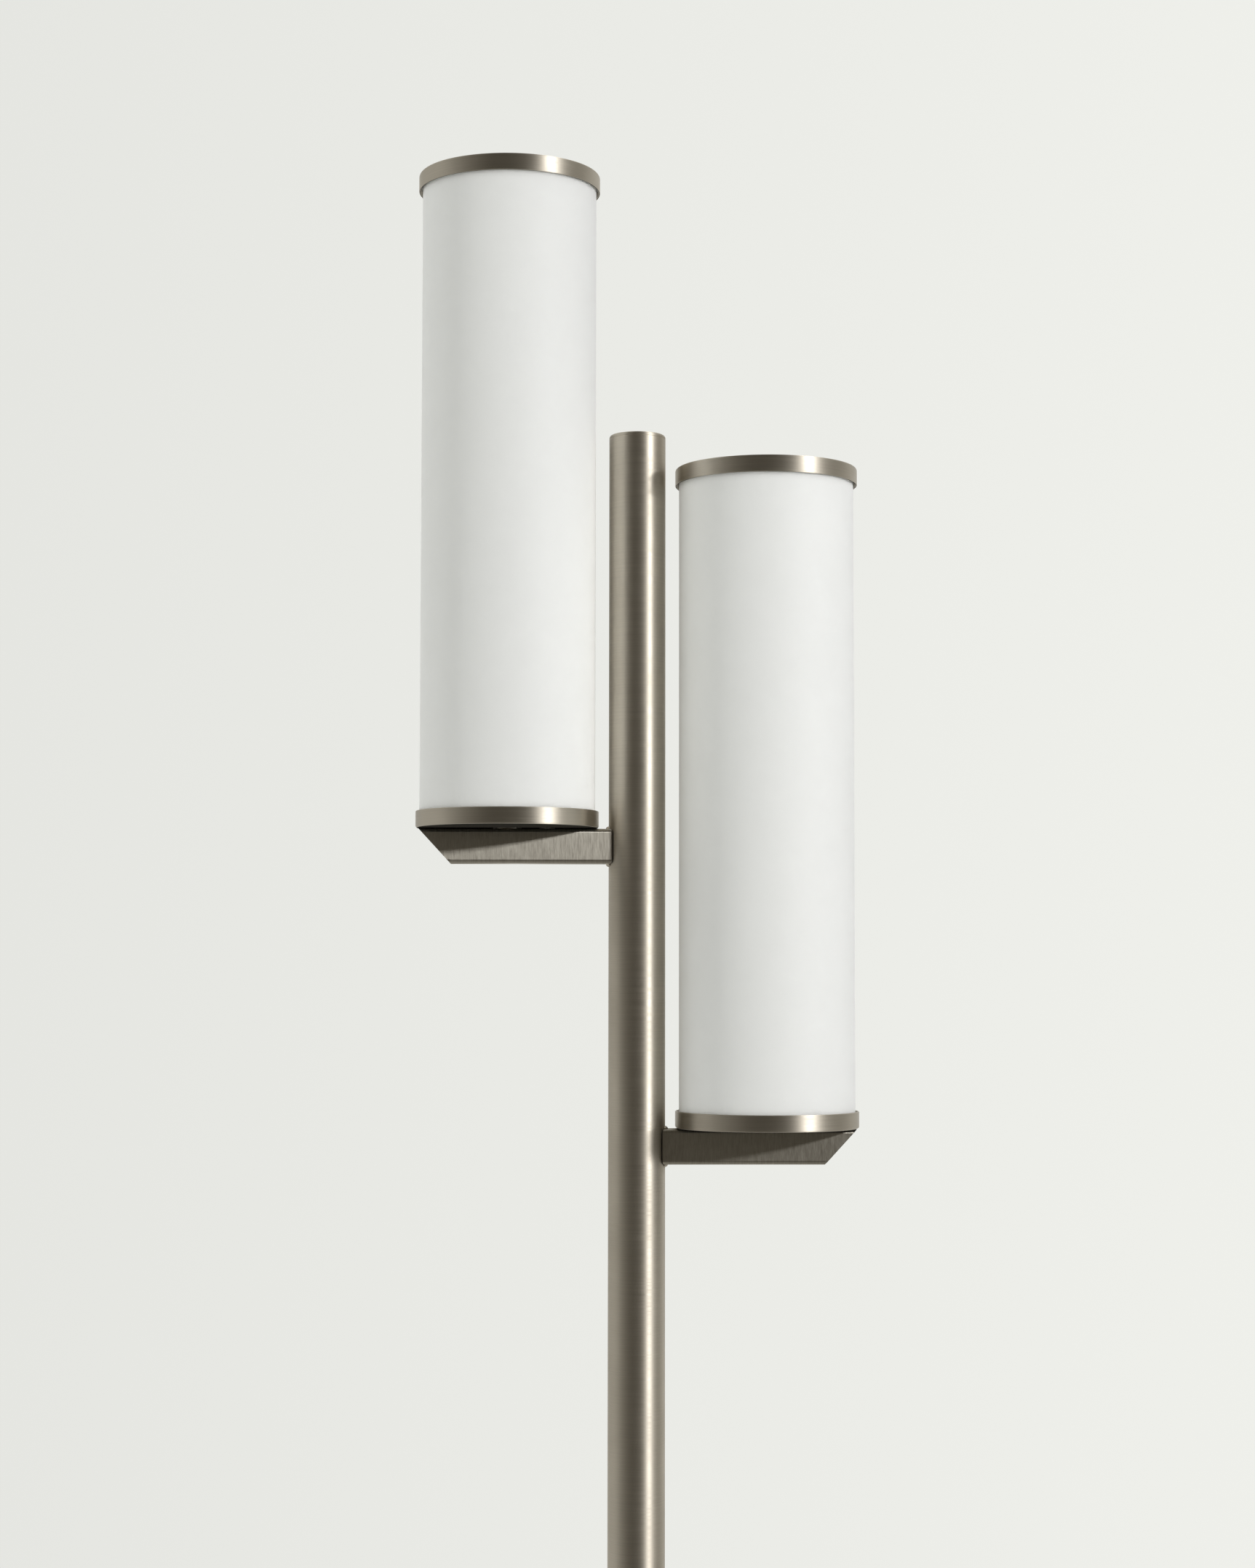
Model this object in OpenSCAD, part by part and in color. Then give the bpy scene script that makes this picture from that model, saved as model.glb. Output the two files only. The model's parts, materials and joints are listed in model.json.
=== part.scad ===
// Pole floor lamp with two upright tube lights.
//
// Frame: origin on the pole's axis at the floor, +Z up. The two arms lie along X, the higher
// light on the -X side, and the front of the lamp is -Y. All sizes are in millimetres.

/* [Pole] */
// Outer diameter of the pole tube
pole_d = 38; // [34:0.5:44]
// Wall of the pole tube
pole_wall = 1.5; // [1:0.1:2.5]
// Length of the lower pole tube
pole_lower_len = 620; // [450:10:720]
// Length of the upper pole tube
pole_upper_len = 830.8; // [780:0.1:1000]
// Length of the sleeve inside the joint between the two tubes
coupler_len = 80; // [50:1:120]
// Wall of the sleeve inside the joint
coupler_wall = 3; // [2:0.1:4]
// Height of the visible head of the top plug
cap_head_h = 2.6; // [2:0.1:6]
// Length of the top plug inside the tube
cap_spigot_len = 12; // [6:1:25]
// Rounding of the top plug's upper edge
cap_edge_r = 2.2; // [0.4:0.1:4]
// Height of the threaded slug in the pole's foot
foot_slug_h = 35; // [25:1:60]

/* [Arms] */
// Height of the arm section
arm_h = 23.3; // [20:0.1:28]
// Width of the arm section
arm_w = 20; // [18:0.5:24]
// Wall of the arm section
arm_wall = 1.5; // [1:0.1:2]
// Outer corner radius of the arm section
arm_corner_r = 2.6; // [2.1:0.1:4]
// Reach of the arm's upper edge from the pole's axis
arm_reach = 146; // [140:0.5:160]
// Slope of the cut end, from the horizontal
arm_mitre_deg = 47.4; // [40:0.1:60]
// Thickness of the plate that closes the cut end
end_plate_t = 1.5; // [1:0.1:3]
// Leg of the weld fillets between arm and pole
weld_leg = 1.8; // [1:0.1:3]

/* [Lights] */
// How far the left tray's underside lies below the pole's top
left_tray_drop = 263.3; // [230:0.1:300]
// How much lower the right light is than the left one
light_drop = 199.5; // [150:0.5:240]
// Distance from the pole's axis to a light's axis
light_offset = 86.9; // [84:0.1:96]
// Outer diameter of the tray and the cap
cup_d = 122.6; // [121.4:0.2:126]
// Height of the tray and of the cap
cup_h = 11.3; // [9:0.1:16]
// Side wall of the tray and of the cap
cup_wall = 1; // [0.6:0.1:1.2]
// Floor thickness of the tray and of the cap
cup_floor = 1.2; // [0.8:0.1:2]
// Outer radius of the pressed corner
cup_corner_r = 1.6; // [1.2:0.1:2.4]
// Gap between the arm and the tray, filled by the spacer
spacer_h = 0.5; // [0.3:0.1:3]
// Diameter of the spacer under the tray
spacer_d = 19; // [14:0.5:19.5]
// Outer diameter of the shade tube
shade_d = 117.5; // [114:0.5:118]
// Wall of the shade tube
shade_wall = 3; // [2:0.1:5]
// Length of the shade tube
shade_len = 436.5; // [400:0.5:480]
// Thickness of the gaskets under and over the shade tube
gasket_t = 1.5; // [1:0.1:2.5]
// Height of the gaskets' centring lip
gasket_lip_h = 4.5; // [3:0.1:6]
// Width of the gaskets' flat ring
gasket_w = 7; // [5:0.1:9]

/* [Lampholders and bulbs] */
// Diameter of the threaded stud
stud_d = 10; // [8:0.5:12]
// Thickness of the nuts on the stud
nut_t = 4; // [3:0.1:5]
// Width across flats of the nuts
nut_af = 14; // [13:0.5:16]
// Outer diameter of the lampholder
holder_d = 39; // [36:0.5:41]
// Height of the lampholder
holder_h = 52; // [44:0.5:60]
// Height of the lampholder's solid foot
holder_foot_h = 18; // [15:0.5:22]
// Outer diameter of the bulb's screw cap
bulb_cap_d = 26.4; // [25:0.1:27]
// Height of the bulb's screw cap
bulb_cap_h = 25; // [22:0.5:28]
// Diameter of the bulb's tube
bulb_d = 32; // [29:0.5:36]
// Length of the bulb's tube with its round end
bulb_len = 270; // [200:1:330]
// Distance from the light's axis to the wire bush
bush_offset = 26.6; // [25:0.1:30]
// Diameter of the wire bush in the gap under the tray
bush_d = 11; // [9:0.1:12]

/* [Base] */
// Diameter of the base cover
base_d = 300; // [296:1:360]
// Height of the base cover's top above the floor
base_h = 20; // [19:0.5:26]
// Thickness of the base cover
cover_t = 1.5; // [1:0.1:2]
// Outer radius of the base cover's edge
cover_edge_r = 5; // [3.5:0.5:6]
// Clearance of the base cover's skirt above the floor
skirt_lift = 1.5; // [1:0.1:2.4]
// Distance from the iron weight's edge to where the cover's edge begins to round
weight_gap = 1; // [0.5:0.5:5]
// Thickness of the floor pad
pad_t = 2.5; // [2:0.1:4]
// Distance from the floor pad's edge to the iron weight's edge
pad_inset = 2; // [1:0.5:8]
// Diameter of the opening in the floor pad
pad_open_d = 60; // [40:1:80]
// Shank diameter of the foot bolt
bolt_d = 10; // [8:0.5:12]
// Height of the foot bolt's head
bolt_head_h = 5.2; // [4:0.1:5.5]
// Width across flats of the foot bolt's head
bolt_head_af = 17; // [14:0.5:19]
// Thickness of the foot bolt's washer
washer_t = 1.6; // [1:0.1:2]
// Diameter of the foot bolt's washer
washer_d = 30; // [24:1:32]
// Bore of the cord inlet bushing
inlet_bore_d = 6.6; // [5:0.1:7.5]
// Body diameter of the cord inlet bushing
inlet_body_d = 10; // [9.5:0.1:11]
// Height of the cord inlet's axis above the floor
inlet_z = 9.5; // [8.5:0.1:10.5]

/* [Foot switch] */
// Distance from the base's edge to the switch's axis
switch_inset = 52; // [44:1:64]
// Diameter of the switch housing under the cover
switch_d = 30; // [27:0.5:34]
// Diameter of the switch's threaded neck
switch_neck_d = 20; // [19:0.5:22]
// Height of the neck above the base cover
switch_neck_h = 4.2; // [3.5:0.1:6]
// Diameter of the push button
button_d = 15.8; // [14:0.1:16.4]
// Height of the button above the neck
button_rise = 5; // [4:0.1:8]
// Travel of the button
button_travel = 3; // [2:0.1:3.5]
// Diameter of the ring nut
ring_nut_d = 28; // [25:0.5:32]
// Height of the ring nut
ring_nut_h = 2.4; // [1.5:0.1:3]
// Number of grip notches round the ring nut
ring_nut_grips = 24; // [16:2:36]
// Wire diameter of the button's spring
spring_wire_d = 0.8; // [0.5:0.1:1]
// Turns of the button's spring
spring_turns = 3; // [2:1:3]

/* [Wiring] */
// Diameter of the flex inside the lamp
flex_d = 4.4; // [3.6:0.1:5]
// How far the wire connector's top lies below the right arm's axis
connector_drop = 60.4; // [40:0.1:150]
// Side of the square wire connector
connector_w = 23; // [20:0.5:23.5]
// Length of the wire connector
connector_len = 30; // [20:1:45]
// Distance of each branch of flex from the pole's axis
branch_offset = 6; // [4:0.1:8]

/* [Fits] */
// Gap between pieces that lift apart
lift_gap = 0.3; // [0.2:0.05:0.4]
// Gap around pieces that are pressed or glued in
seat_gap = 0.1; // [0.05:0.01:0.15]
// Gap around threads
thread_gap = 0.1; // [0.05:0.01:0.2]
// Gap around pieces that slide in a bore
slide_gap = 0.08; // [0.05:0.01:0.1]
// Gap around the flex where it passes through a hole
flex_gap = 0.5; // [0.3:0.1:0.8]
// Gap between the arm's shaped end and the pole
cope_gap = 0.6; // [0.1:0.05:1]

/* [Hidden] */
$fn = 96;

// Cutting tools reach this far past the faces they cut.
over = 1;
arc_steps = 8;

// Colours of the finishes
nickel = [0.62, 0.59, 0.54];
dark_steel = [0.35, 0.34, 0.33];
iron = [0.2, 0.2, 0.21];
opal = [0.93, 0.93, 0.91];
brass = [0.78, 0.64, 0.34];
black_plastic = [0.08, 0.08, 0.08];
black_rubber = [0.06, 0.06, 0.06];
nylon = [0.9, 0.88, 0.82];
silicone = [0.8, 0.8, 0.78];

// Pole
pole_r = pole_d / 2;
pole_bore_r = pole_r - pole_wall;
pole_joint_z = base_h + pole_lower_len;
pole_top_z = pole_joint_z + pole_upper_len;
joint_chamfer = 0.3;
sleeve_r = pole_bore_r - seat_gap;
coupler_bore_r = sleeve_r - coupler_wall;
cap_round_r = min(cap_edge_r, cap_head_h - joint_chamfer);

// Arms: the left one carries the higher light
left_side = -1;
right_side = 1;
left_tray_z = pole_top_z - left_tray_drop;
function tray_z(side) = side < 0 ? left_tray_z : left_tray_z - light_drop;
function arm_top_z(side) = tray_z(side) - spacer_h;
function arm_mid_z(side) = arm_top_z(side) - arm_h / 2;
least_arm_bore_r = 0.4;
arm_bore_r = max(arm_corner_r - arm_wall, least_arm_bore_r);
arm_run = arm_reach + over;
wire_hole_r = flex_d / 2 + 4 * flex_gap;
// The weld stops short of the arm's round corners.
weld_edge = arm_corner_r + 0.4;

// Lights, measured up from the tray's underside
cup_r = cup_d / 2;
cup_bore_r = cup_r - cup_wall;
least_cup_corner_r = 0.3;
cup_inner_corner_r = max(cup_corner_r - cup_wall, least_cup_corner_r);
rim_r = cup_wall * 0.4;
shade_r = shade_d / 2;
shade_chamfer = 0.3;
shade_bottom = cup_floor + gasket_t + lift_gap;
shade_top = shade_bottom + shade_len;
light_h = shade_top + lift_gap + gasket_t + cup_floor;
gasket_outer_r = cup_bore_r - seat_gap;
gasket_lip_inner_r = shade_r + lift_gap;
gasket_inner_r = gasket_outer_r - gasket_w;
// The gasket's outer foot is cut off at the slope of the cup's inner corner.
gasket_foot_cut = cup_inner_corner_r;

// Stud, nuts and lampholder, also from the tray's underside
stud_r = stud_d / 2;
stud_point = 0.8;
lower_nut_top = -spacer_h - arm_wall;
lower_nut_bottom = lower_nut_top - nut_t;
stud_tail = 1.5;
upper_nut_top = cup_floor + nut_t;
holder_r = holder_d / 2;
holder_bottom = upper_nut_top;
holder_top = holder_bottom + holder_h;
holder_bore_depth = 10;
// The holder's foot narrows down to a round seat on the nut.
holder_seat_r = holder_r - 7.4;
holder_shoulder_h = 9;
holder_rim_r = 1.5;
holder_groove_w = 1.2;
holder_groove_depth = 0.6;
holder_grooves = 20;
stud_top = holder_bottom + holder_bore_depth - 1;
holder_foot_top = holder_bottom + holder_foot_h;
shell_t = 0.5;
shell_fit = 0.3;
bulb_cap_r = bulb_cap_d / 2;
shell_r = bulb_cap_r + shell_fit + shell_t;
shell_h = holder_h - holder_foot_h - 4;
holder_cavity_r = shell_r + seat_gap;
contact_h = 2;
contact_r = 4;
bulb_tip_h = 3;
bulb_cap_bottom = holder_foot_top + shell_t + contact_h + lift_gap;
bulb_cap_top = bulb_cap_bottom + bulb_tip_h + bulb_cap_h;
bulb_r = bulb_d / 2;
bulb_bottom = bulb_cap_top;
// The bulb's collar stays narrow up to just above the holder's rim and then widens to the tube.
collar_r = bulb_cap_r + 0.4;
collar_edge = 1;
collar_top = holder_top + 1;
bulb_shoulder_h = 15;

// Wire bush
bush_end_h = 0.8;
bush_bore_r = flex_d / 2 + flex_gap;
bush_neck_r = bush_d / 2 - 1;

// Base
base_r = base_d / 2;
cover_underside_z = base_h - cover_t;
weight_top_z = cover_underside_z;
weight_r = base_r - cover_edge_r - weight_gap;
pad_r = weight_r - pad_inset;
bolt_r = bolt_d / 2;
bolt_hole_r = bolt_r + 0.5;
washer_r = washer_d / 2;
washer_bore_r = bolt_r + 0.3;
bolt_pocket_r = washer_r + 1;
bolt_head_z = pad_t + 0.4;
washer_z = bolt_head_z + bolt_head_h;
bolt_pocket_top = washer_z + washer_t;
slug_end_wall = 4;
bolt_end_gap = 3;
bolt_bore_top_z = base_h + foot_slug_h - slug_end_wall;
bolt_top_z = bolt_bore_top_z - bolt_end_gap;
bolt_point = 1;
hex_chamfer_deg = 30;

// Wiring channels in the weight
flex_r = flex_d / 2;
flex_bend_r = 10;
flex_depth = 4.1;
main_flex_z = weight_top_z - flex_r - flex_depth;
main_flex_y = -(bolt_r + flex_r + 3.4);
front_groove_w = flex_d + 3.6;
front_groove_z = main_flex_z - flex_r - flex_gap;
front_groove_end = 1.2;
riser_hole_r = flex_r + 2;
// The flex is still bending where it passes the cover, so its hole lies a little in front of it.
riser_hole_y = main_flex_y - 0.4;
channel_inner_r = bolt_pocket_r + 4;
channel_outer_r = channel_inner_r + inlet_body_d + 2;
inlet_groove_w = inlet_body_d + 2 * seat_gap;
channel_z = inlet_z - inlet_groove_w / 2;
inlet_body_r = inlet_body_d / 2;
inlet_bore_r = inlet_bore_d / 2;
inlet_flange_r = inlet_body_r + 1.4;
inlet_flange_h = 1.6;
inlet_len = 14;
inlet_hole_gap = 0.3;

// Foot switch
switch_r = switch_d / 2;
switch_y = -(base_r - switch_inset);
switch_bottom_z = pad_t + 2;
switch_pocket_r = switch_r + 3;
neck_r = switch_neck_d / 2;
neck_top_z = base_h + switch_neck_h;
button_r = button_d / 2;
button_top_z = neck_top_z + button_rise;
spring_seat_z = switch_bottom_z + 3;
spring_h = button_travel + (spring_turns + 1) * spring_wire_d;
button_bottom_z = spring_seat_z + spring_h;
spring_mean_r = button_r - 2.4;
button_edge_r = 2;
// The button's top is a shallow dish, cut by a large ball.
dish_depth = 0.7;
dish_r = button_r - button_edge_r;
dish_ball_r = (dish_r * dish_r + dish_depth * dish_depth) / (2 * dish_depth);
ring_nut_r = ring_nut_d / 2;
ring_nut_chamfer = 0.6;
grip_r = 0.9;
// A grip notch is cut by a round bar whose axis lies just outside the nut.
grip_axis_r = ring_nut_r + 0.3;

// Connector and branches of flex, through the arms and up to the lampholders
connector_top_z = arm_mid_z(right_side) - connector_drop;
connector_z = connector_top_z - connector_len;
arm_bend_r = 8;
entry_bend_r = 5;
entry_z = upper_nut_top + 6;
entry_axis_z = entry_z + entry_bend_r;
entry_depth = 3;

// ---------------------------------------------------------------- shapes used more than once

// Points of a quarter round from one angle to another
function arc_points(cx, cy, r, from, to) =
  [for (i = [0 : arc_steps]) let (a = from + (to - from) * i / arc_steps) [cx + r * cos(a), cy + r * sin(a)]];

module at_light(side) {
  translate([side * light_offset, 0, tray_z(side)])
    children();
}

module tube(r, bore, h) {
  difference() {
    cylinder(r = r, h = h);
    translate([0, 0, -over])
      cylinder(r = bore, h = h + 2 * over);
  }
}

// Hexagon bar whose corners are turned down to a cone at the lower end and, if asked, at the upper end too
module hex(af, h, both_ends) {
  corner_r = af / sqrt(3);
  drop = (corner_r - af / 2) * tan(hex_chamfer_deg);
  intersection() {
    cylinder(r = corner_r, h = h, $fn = 6);
    rotate_extrude()
      polygon(both_ends
        ? [[0, 0], [af / 2, 0], [corner_r, drop], [corner_r, h - drop], [af / 2, h], [0, h]]
        : [[0, 0], [af / 2, 0], [corner_r, drop], [corner_r, h], [0, h]]);
  }
}

module hex_nut(af, bore, h) {
  difference() {
    hex(af, h, true);
    translate([0, 0, -over])
      cylinder(r = bore, h = h + 2 * over);
  }
}

// Round bar along Z with a chamfer at its lower and upper end
module pointed_bar(r, h, low, high) {
  rotate_extrude($fn = 64)
    polygon([[0, 0], [r - low, 0], [r, low], [r, h - high], [r - high, h], [0, h]]);
}

// Rectangle with round corners, made of plain squares and circles so that its corners stay round
module round_rect(w, h, r) {
  square([w - 2 * r, h], center = true);
  square([w, h - 2 * r], center = true);
  for (x = [-1, 1], y = [-1, 1])
    translate([x * (w / 2 - r), y * (h / 2 - r)])
      circle(r = r, $fn = 48);
}

// Round bar along Z
module flex_up(x, y, z0, z1) {
  translate([x, y, z0])
    cylinder(r = flex_r, h = z1 - z0, $fn = 32);
}

// Round bar along +X or -X, from distance x0 to x1
module flex_along(side, x0, x1, z) {
  translate([side * x0, 0, z])
    rotate([0, side * 90, 0])
      cylinder(r = flex_r, h = x1 - x0, $fn = 32);
}

// Quarter bend of flex in the XZ plane, about a centre, from one angle to the next 90 degrees
module flex_bend(cx, cz, r, from) {
  translate([cx, 0, cz])
    rotate([90, 0, 0])
      rotate([0, 0, from])
        rotate_extrude(angle = 90, $fn = 96)
          translate([r, 0])
            circle(r = flex_r, $fn = 32);
}

// ---------------------------------------------------------------- base

module base_pad() {
  color(black_rubber)
    tube(pad_r, pad_open_d / 2, pad_t);
}

module base_weight() {
  color(iron)
    difference() {
      translate([0, 0, pad_t])
        cylinder(r = weight_r, h = weight_top_z - pad_t);
      // bolt hole with the pocket for head and washer
      cylinder(r = bolt_hole_r, h = base_h);
      translate([0, 0, pad_t - over])
        cylinder(r = bolt_pocket_r, h = bolt_pocket_top - pad_t + over);
      // pocket for the switch
      translate([0, switch_y, 0])
        cylinder(r = switch_pocket_r, h = base_h);
      // channel from the switch to the pole
      translate([-front_groove_w / 2, switch_y, front_groove_z])
        cube([front_groove_w, main_flex_y + flex_r + front_groove_end - switch_y, base_h]);
      // ring channel that leads a cord round the bolt, and the groove to the cord inlet
      translate([0, 0, channel_z])
        tube(channel_outer_r, channel_inner_r, base_h);
      translate([-inlet_groove_w / 2, channel_inner_r, channel_z])
        cube([inlet_groove_w, weight_r, base_h]);
    }
}

// Half section of the spun cover: flat top, round edge and a short skirt
cover_inner_edge_r = cover_edge_r - cover_t;
cover_outline = concat(
  [[0, base_h]],
  arc_points(base_r - cover_edge_r, base_h - cover_edge_r, cover_edge_r, 90, 0),
  [[base_r, skirt_lift], [base_r - cover_t, skirt_lift]],
  arc_points(base_r - cover_edge_r, base_h - cover_edge_r, cover_inner_edge_r, 0, 90),
  [[0, cover_underside_z]]
);

module base_cover() {
  color(nickel)
    difference() {
      rotate_extrude($fn = 180)
        polygon(cover_outline);
      cylinder(r = bolt_hole_r, h = 2 * base_h);
      translate([0, riser_hole_y, 0])
        cylinder(r = riser_hole_r, h = 2 * base_h, $fn = 48);
      translate([0, switch_y, 0])
        cylinder(r = neck_r + inlet_hole_gap, h = 2 * base_h);
      translate([0, base_r - cover_edge_r, inlet_z])
        rotate([-90, 0, 0])
          cylinder(r = inlet_body_r + inlet_hole_gap, h = cover_edge_r + over, $fn = 48);
    }
}

module cord_bushing() {
  color(black_plastic)
    translate([0, base_r + seat_gap, inlet_z])
      rotate([-90, 0, 0])
        difference() {
          union() {
            cylinder(r = inlet_flange_r, h = inlet_flange_h, $fn = 64);
            translate([0, 0, -inlet_len + inlet_flange_h])
              cylinder(r = inlet_body_r, h = inlet_len - inlet_flange_h + seat_gap, $fn = 64);
          }
          translate([0, 0, -inlet_len])
            cylinder(r = inlet_bore_r, h = 2 * inlet_len, $fn = 64);
        }
}

module base_bolt() {
  color(dark_steel)
    union() {
      translate([0, 0, bolt_head_z])
        hex(bolt_head_af, bolt_head_h, false);
      translate([0, 0, bolt_head_z])
        pointed_bar(bolt_r, bolt_top_z - bolt_head_z, 0, bolt_point);
    }
}

module base_washer() {
  color(dark_steel)
    translate([0, 0, washer_z])
      tube(washer_r, washer_bore_r, washer_t);
}

// ---------------------------------------------------------------- pole

module pole_foot_slug() {
  color(dark_steel)
    difference() {
      translate([0, 0, base_h])
        cylinder(r = sleeve_r, h = foot_slug_h);
      cylinder(r = bolt_r + thread_gap, h = bolt_bore_top_z, $fn = 64);
      translate([0, riser_hole_y, 0])
        cylinder(r = riser_hole_r, h = 2 * base_h + foot_slug_h, $fn = 48);
    }
}

// Tube with a small chamfer on the outer edge at one or both ends
module chamfered_tube(z0, z1, low_chamfer, high_chamfer) {
  rotate_extrude()
    polygon([
      [pole_bore_r, z0], [pole_r - low_chamfer, z0], [pole_r, z0 + low_chamfer],
      [pole_r, z1 - high_chamfer], [pole_r - high_chamfer, z1], [pole_bore_r, z1]
    ]);
}

module pole_lower() {
  color(nickel)
    chamfered_tube(base_h, pole_joint_z, joint_chamfer, joint_chamfer);
}

module pole_coupler() {
  color(dark_steel)
    translate([0, 0, pole_joint_z - coupler_len / 2])
      tube(sleeve_r, coupler_bore_r, coupler_len);
}

module pole_upper() {
  color(nickel)
    difference() {
      chamfered_tube(pole_joint_z, pole_top_z, joint_chamfer, joint_chamfer);
      // a hole behind each arm lets the flex through
      for (side = [left_side, right_side])
        translate([0, 0, arm_mid_z(side)])
          rotate([0, side * 90, 0])
            cylinder(r = wire_hole_r, h = pole_d, $fn = 48);
    }
}

module pole_cap() {
  color(nickel)
    translate([0, 0, pole_top_z])
      rotate_extrude()
        polygon(concat(
          [[0, -cap_spigot_len], [sleeve_r - 1, -cap_spigot_len], [sleeve_r, 1 - cap_spigot_len]],
          [[sleeve_r, 0], [pole_r - joint_chamfer, 0], [pole_r, joint_chamfer]],
          arc_points(pole_r - cap_round_r, cap_head_h - cap_round_r, cap_round_r, 0, 90),
          [[0, cap_head_h]]
        ));
}

// ---------------------------------------------------------------- foot switch

module switch_body() {
  color(black_plastic)
    translate([0, switch_y, 0])
      difference() {
        union() {
          translate([0, 0, switch_bottom_z])
            cylinder(r = switch_r, h = cover_underside_z - switch_bottom_z);
          translate([0, 0, switch_bottom_z])
            cylinder(r = neck_r, h = neck_top_z - switch_bottom_z);
        }
        translate([0, 0, spring_seat_z])
          cylinder(r = button_r + slide_gap, h = base_h + switch_neck_h);
      }
}

module switch_ring_nut() {
  color(nickel)
    translate([0, switch_y, base_h])
      difference() {
        rotate_extrude()
          polygon([
            [neck_r + thread_gap, 0], [ring_nut_r, 0], [ring_nut_r, ring_nut_h - ring_nut_chamfer],
            [ring_nut_r - ring_nut_chamfer, ring_nut_h], [neck_r + thread_gap, ring_nut_h]
          ]);
        for (i = [0 : ring_nut_grips - 1])
          rotate([0, 0, 360 * i / ring_nut_grips])
            translate([grip_axis_r, 0, -over])
              cylinder(r = grip_r, h = ring_nut_h + 2 * over, $fn = 24);
      }
}

// Compression spring: one round wire swept along a helix with plain ends
spring_sides = 6;
spring_steps = 12;
spring_wire_r = spring_wire_d / 2;
spring_rise = spring_h - spring_wire_d - 2 * seat_gap;
spring_count = spring_turns * spring_steps;
function spring_centre(i) =
  let (a = 360 * i / spring_steps)
  [spring_mean_r * cos(a), spring_mean_r * sin(a), spring_wire_r + seat_gap + spring_rise * i / spring_count];
function spring_ring(i) =
  let (a = 360 * i / spring_steps, c = spring_centre(i))
  [for (k = [0 : spring_sides - 1]) let (b = 360 * k / spring_sides)
    c + spring_wire_r * [cos(b) * cos(a), cos(b) * sin(a), sin(b)]];
spring_points = [for (i = [0 : spring_count]) each spring_ring(i)];
spring_quads = [for (i = [0 : spring_count - 1], k = [0 : spring_sides - 1])
  let (n = (k + 1) % spring_sides, a = i * spring_sides, b = a + spring_sides)
  each [[a + k, a + n, b + n], [a + k, b + n, b + k]]];
spring_start = [for (k = [0 : spring_sides - 1]) spring_sides - 1 - k];
spring_end = [for (k = [0 : spring_sides - 1]) spring_count * spring_sides + k];

module switch_spring() {
  color(dark_steel)
    translate([0, switch_y, spring_seat_z])
      polyhedron(points = spring_points, faces = concat([spring_start], spring_quads, [spring_end]));
}

module switch_button() {
  color(black_plastic)
    translate([0, switch_y, 0])
      difference() {
        rotate_extrude()
          polygon(concat(
            [[0, button_bottom_z], [button_r, button_bottom_z]],
            arc_points(button_r - button_edge_r, button_top_z - button_edge_r, button_edge_r, 0, 90),
            [[0, button_top_z]]
          ));
        translate([0, 0, button_top_z - dish_depth + dish_ball_r])
          sphere(r = dish_ball_r);
      }
}

// ---------------------------------------------------------------- wiring

module flex_main() {
  color(nylon)
    union() {
      // from the switch along the channel, then up the pole to the connector
      translate([0, switch_y + switch_r + lift_gap, main_flex_z])
        rotate([-90, 0, 0])
          cylinder(r = flex_r, h = main_flex_y - flex_bend_r - switch_y - switch_r - lift_gap, $fn = 32);
      translate([0, main_flex_y - flex_bend_r, main_flex_z + flex_bend_r])
        rotate([90, 0, 90])
          rotate([0, 0, -90])
            rotate_extrude(angle = 90, $fn = 96)
              translate([flex_bend_r, 0])
                circle(r = flex_r, $fn = 32);
      flex_up(0, main_flex_y, main_flex_z + flex_bend_r, connector_z);
    }
}

module wire_connector() {
  color(black_plastic)
    translate([-connector_w / 2, -connector_w / 2, connector_z])
      cube([connector_w, connector_w, connector_len]);
}

// One branch: up the pole, round into the arm, up through the bush and round into the holder
module flex_branch(side) {
  arm_z = arm_mid_z(side);
  pole_bend_x = branch_offset + flex_bend_r;
  rise_x = light_offset - bush_offset;
  entry_x = light_offset - holder_r + entry_depth;
  entry_bend_z = tray_z(side) + entry_z;
  color(nylon)
    union() {
      flex_up(side * branch_offset, 0, connector_top_z, arm_z - flex_bend_r);
      flex_bend(side * pole_bend_x, arm_z - flex_bend_r, flex_bend_r, side < 0 ? 0 : 90);
      flex_along(side, pole_bend_x, rise_x - arm_bend_r, arm_z);
      flex_bend(side * (rise_x - arm_bend_r), arm_z + arm_bend_r, arm_bend_r, side < 0 ? 180 : 270);
      flex_up(side * rise_x, 0, arm_z + arm_bend_r, entry_bend_z);
      flex_bend(side * (rise_x + entry_bend_r), entry_bend_z, entry_bend_r, side < 0 ? 0 : 90);
      flex_along(side, rise_x + entry_bend_r, entry_x, entry_bend_z + entry_bend_r);
    }
}

module flex_left() { flex_branch(left_side); }
module flex_right() { flex_branch(right_side); }

// ---------------------------------------------------------------- arms

// Slab past the arm's cut end: it starts at a depth inside the end face and has a thickness
module past_cut(depth, thickness) {
  translate([arm_reach, 0, 0])
    rotate([0, 90 - arm_mitre_deg, 0])
      translate([-depth, -2 * arm_w, -6 * arm_h])
        cube([thickness, 4 * arm_w, 12 * arm_h]);
}

// Solid bar of one section along +X, its top at the arm's top
module arm_section(w, h, r) {
  translate([0, 0, -arm_h / 2])
    rotate([90, 0, 90])
      linear_extrude(arm_run)
        round_rect(w, h, r);
}

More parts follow.
